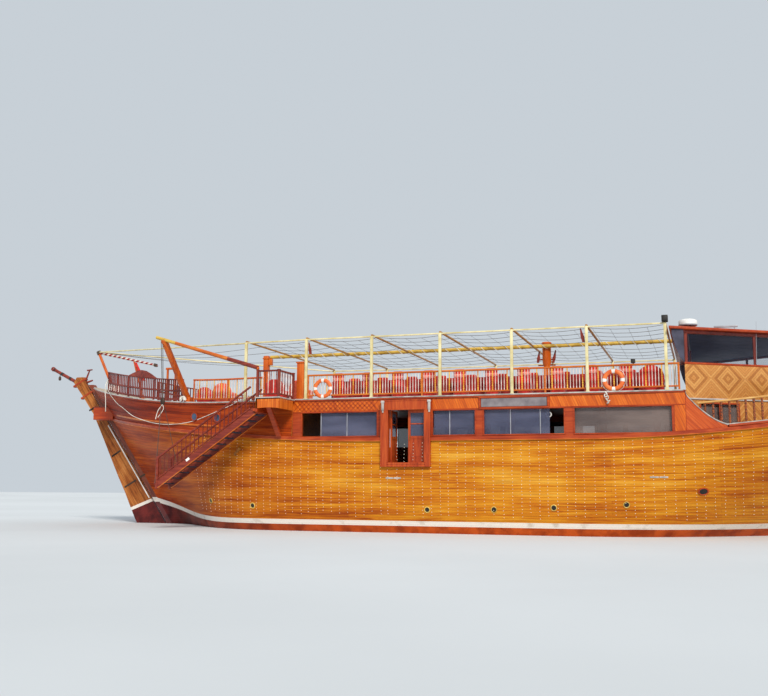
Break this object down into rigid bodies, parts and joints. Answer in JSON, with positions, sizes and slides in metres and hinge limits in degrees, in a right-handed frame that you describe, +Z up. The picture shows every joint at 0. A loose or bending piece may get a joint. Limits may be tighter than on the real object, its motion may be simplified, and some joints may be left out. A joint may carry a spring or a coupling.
{
  "type": "dhow sailing boat",
  "caption": "Double-ended wooden dhow with a glazed saloon, a railed open upper deck under a net frame, a wheelhouse, a hinged boarding ladder and a raked rudder.",
  "frame": {"origin": "on the centreline at the waterline, under the middle post of the net frame", "axes": "+X towards the bow, +Y to port, +Z up"},
  "size_m": [38.8809, 11.1236, 9.393],
  "materials": {
    "teak": "varnished planks",
    "redwood": "red-brown gloss varnish",
    "orange_paint": "orange gloss varnish",
    "maroon_paint": "dark red varnish",
    "yellow_paint": "pale yellow gloss paint",
    "deck_grey": "pale grey deck paint",
    "glass": "tinted",
    "white_paint": "white gel coat",
    "bronze": "dull cast bronze",
    "red_cloth": "red cotton covers",
    "buoy_orange": "orange moulded skin",
    "rope": "laid white rope"
  },
  "bodies": {
    "boat": {"hull": "teak", "keel_and_posts": "redwood", "wale_aft_port": "orange_paint", "wale_aft_starboard": "orange_paint", "wale_fore_port": "orange_paint", "wale_fore_starboard": "orange_paint", "upper_deck": "deck_grey", "saloon_wall_port": "redwood", "saloon_wall_starboard": "redwood", "glass_aft_port": "glass", "glass_aft_starboard": "glass", "glass_fore_port": "glass", "glass_fore_starboard": "glass", "door_frame_port": "redwood", "door_frame_starboard": "redwood", "wing_port": "redwood", "wing_starboard": "redwood", "fore_house": "teak", "fore_house_glass_port": "glass", "fore_house_glass_starboard": "glass", "wheelhouse_walls": "teak", "wheelhouse_frame": "redwood", "wheelhouse_glass": "glass", "wheelhouse_roof": "redwood", "radar_dome": "white_paint", "roof_box": "white_paint", "helm_stand": "redwood", "upper_rail_port": "orange_paint", "upper_rail_starboard": "orange_paint", "aft_rail_port": "orange_paint", "aft_rail_starboard": "orange_paint", "poop_rail_port": "maroon_paint", "poop_rail_starboard": "maroon_paint", "fore_bulwark_port": "maroon_paint", "fore_bulwark_starboard": "maroon_paint", "net_side_port": "yellow_paint", "net_side_starboard": "yellow_paint", "net_beams": "yellow_paint", "net_aft_frame": "yellow_paint", "heel_post": "orange_paint", "boarding_platform": "redwood", "davit": "orange_paint", "stern_box": "redwood", "stern_tube": "bronze", "mast_stump": "orange_paint", "seating_port": "red_cloth", "seating_starboard": "red_cloth", "lifebuoy_aft": "buoy_orange", "lifebuoy_fore": "buoy_orange", "mooring_rope": "rope"},
    "rudder": {"rudder": "teak", "tiller": "orange_paint"},
    "helm": {"helm_wheel": "teak"},
    "propeller": {"propeller": "bronze"},
    "ladder": {"boarding_ladder": "maroon_paint"},
    "door_aft_port": {"door_aft_port": "redwood"},
    "door_fore_port": {"door_fore_port": "redwood"},
    "door_fore_starboard": {"door_fore_starboard": "redwood"},
    "door_aft_starboard": {"door_aft_starboard": "redwood"},
    "wheelhouse_door": {"wheelhouse_door": "redwood"}
  },
  "joints": [
    {"name": "rudder_turn", "type": "hinge", "parent": "boat", "child": "rudder", "pos_m": [-13.285, 0, 0], "axis": [-0.5762, 0, 0.8173], "range_deg": [-35, 35]},
    {"name": "helm_turn", "type": "hinge", "parent": "boat", "child": "helm", "pos_m": [11.25, 0, 5.56], "axis": [1, 0, 0], "range_deg": [-290, 290]},
    {"name": "propeller_spin", "type": "hinge", "parent": "boat", "child": "propeller", "pos_m": [-11.45, 0, -0.95], "axis": [1, 0, 0], "continuous": true},
    {"name": "ladder_lift", "type": "hinge", "parent": "boat", "child": "ladder", "pos_m": [-6.4, -5.45, 4.215], "axis": [0, 1, 0], "range_deg": [0, 33]},
    {"name": "door_aft_port", "type": "hinge", "parent": "boat", "child": "door_aft_port", "pos_m": [-1.814, 4.606, 3.3], "axis": [0, 0, -1], "range_deg": [0, 90]},
    {"name": "door_fore_port", "type": "hinge", "parent": "boat", "child": "door_fore_port", "pos_m": [-0.516, 4.606, 3.3], "axis": [0, 0, 1], "range_deg": [0, 90]},
    {"name": "door_fore_starboard", "type": "hinge", "parent": "boat", "child": "door_fore_starboard", "pos_m": [-0.516, -4.606, 3.3], "axis": [0, 0, -1], "range_deg": [0, 90]},
    {"name": "door_aft_starboard", "type": "hinge", "parent": "boat", "child": "door_aft_starboard", "pos_m": [-1.814, -4.606, 3.3], "axis": [0, 0, 1], "range_deg": [-90, 0]},
    {"name": "wheelhouse_door", "type": "hinge", "parent": "boat", "child": "wheelhouse_door", "pos_m": [8.21, 0.364, 5.6], "axis": [0, 0, 1], "range_deg": [0, 92]}
  ],
  "couplings": [
    {"joint": "helm_turn", "follows": "rudder_turn", "ratio": 8}
  ]
}
